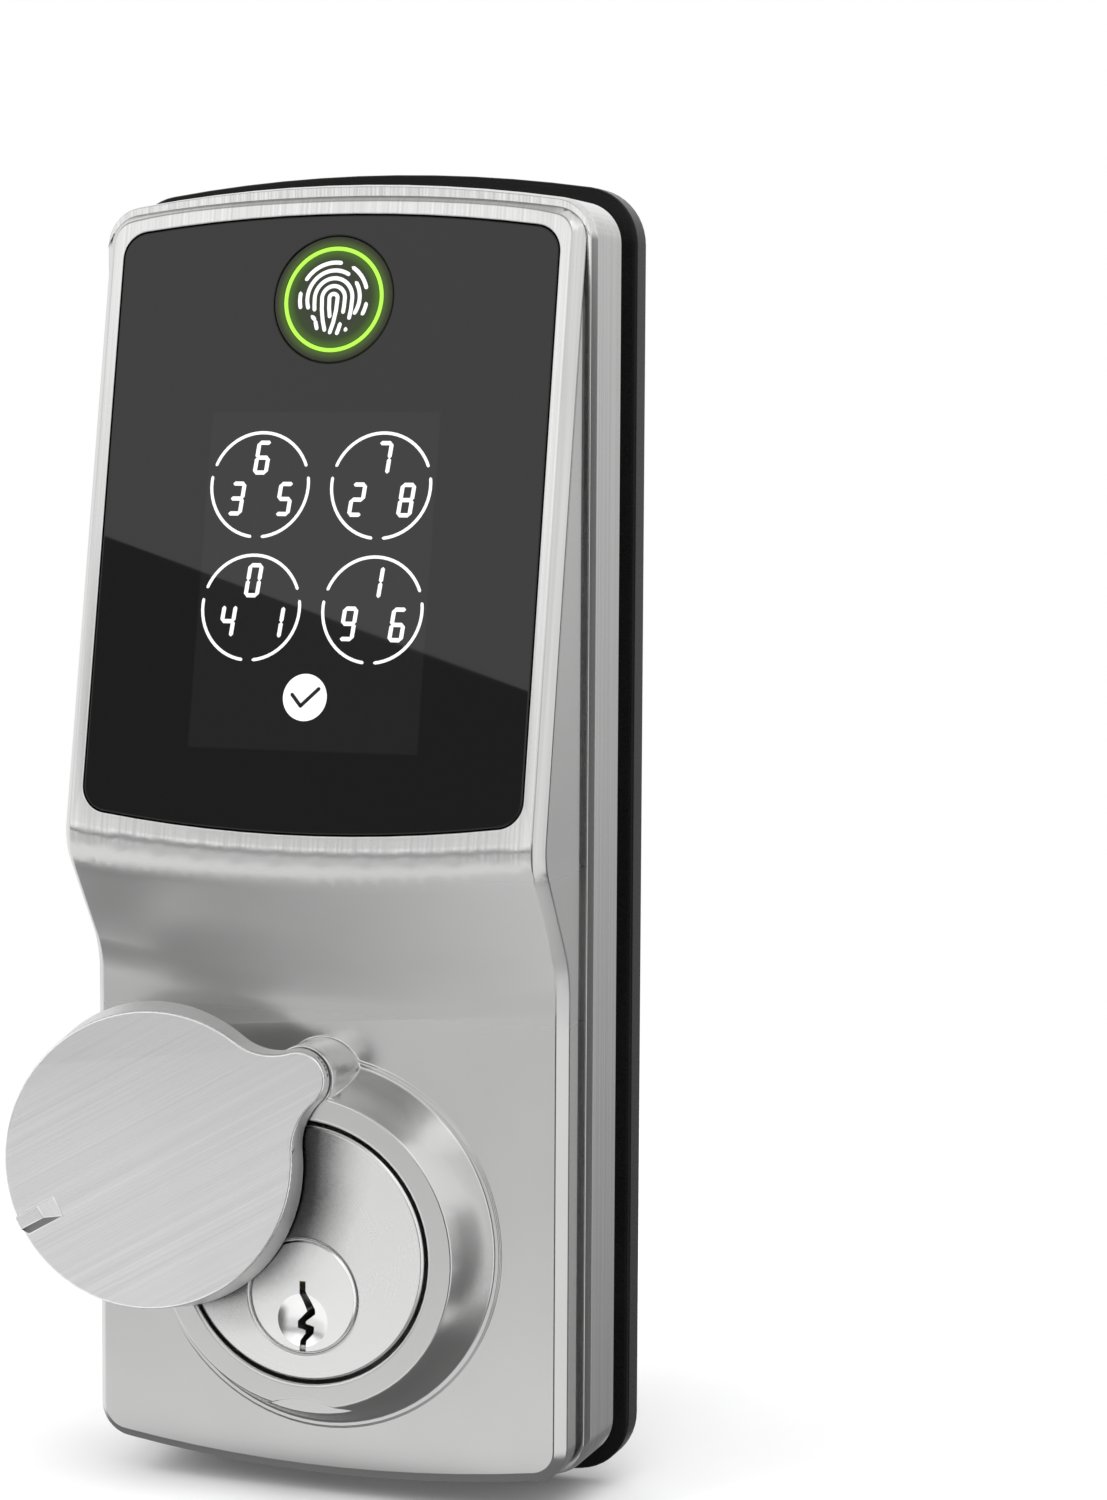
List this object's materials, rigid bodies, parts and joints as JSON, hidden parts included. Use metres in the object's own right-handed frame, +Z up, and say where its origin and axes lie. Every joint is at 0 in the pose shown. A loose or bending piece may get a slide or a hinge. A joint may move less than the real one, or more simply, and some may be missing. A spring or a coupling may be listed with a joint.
{
  "type": "keypad smart lock",
  "caption": "Door lock exterior unit with a tilted touch glass keypad and fingerprint sensor above a key cylinder with a swinging cover.",
  "frame": {"origin": "axis of the key plug on the door face, midway between the two threaded posts", "axes": "+X to the right seen from the room, +Y into the door, +Z up"},
  "size_m": [0.0669, 0.0867, 0.1525],
  "materials": {
    "satin_nickel": "satin nickel, brushed",
    "satin_nickel_cylinder": "satin nickel on brass",
    "black_rubber": "matte rubber",
    "zinc_steel": "zinc-plated steel",
    "black_glass": "gloss black tempered glass",
    "black_foam": "black foam tape",
    "display": "dark display",
    "black_plastic": "matte moulded plastic",
    "white_plastic": "moulded nylon",
    "flex": "amber polyimide film",
    "sensor_black": "satin black sensor face",
    "light_ring": "lit light guide",
    "board_green": "solder mask",
    "brass": "turned brass"
  },
  "bodies": {
    "housing": {"door_gasket": "black_rubber", "cable_grommet": "black_rubber", "back_plate": "zinc_steel", "housing_screws": "zinc_steel", "mounting_posts": "zinc_steel", "board_screws": "zinc_steel", "keeper_screws": "zinc_steel", "cover_washer": "zinc_steel", "pin_springs": "zinc_steel", "cylinder_keeper": "zinc_steel", "board_standoffs": "zinc_steel", "front_housing": "satin_nickel", "rear_housing": "satin_nickel", "cylinder_shell": "satin_nickel_cylinder", "touch_glass": "black_glass", "glass_adhesive": "black_foam", "display_panel": "display", "display_frame": "black_plastic", "display_flex": "flex", "sensor_flex": "flex", "fingerprint_sensor": "sensor_black", "sensor_light_ring": "light_ring", "sensor_retainer": "black_plastic", "main_board": "board_green", "board_chips": "black_plastic", "buzzer": "black_plastic", "board_connector": "white_plastic", "chamber_cap": "brass", "driver_pins": "brass"},
    "plug": {"key_plug": "satin_nickel_cylinder", "key_pins": "brass", "plug_cap": "brass", "cap_screws": "zinc_steel", "tailpiece": "zinc_steel"},
    "cover": {"key_cover": "satin_nickel", "cover_screw": "zinc_steel"}
  },
  "joints": [
    {"name": "cover_swing", "type": "hinge", "parent": "housing", "child": "cover", "pos_m": [0, -0.0213, 0.02505], "axis": [0, 1, 0], "range_deg": [-60.4, 29.6]},
    {"name": "plug_turn", "type": "hinge", "parent": "housing", "child": "plug", "pos_m": [0, 0, 0], "axis": [0, 1, 0], "range_deg": [-90, 90]}
  ]
}
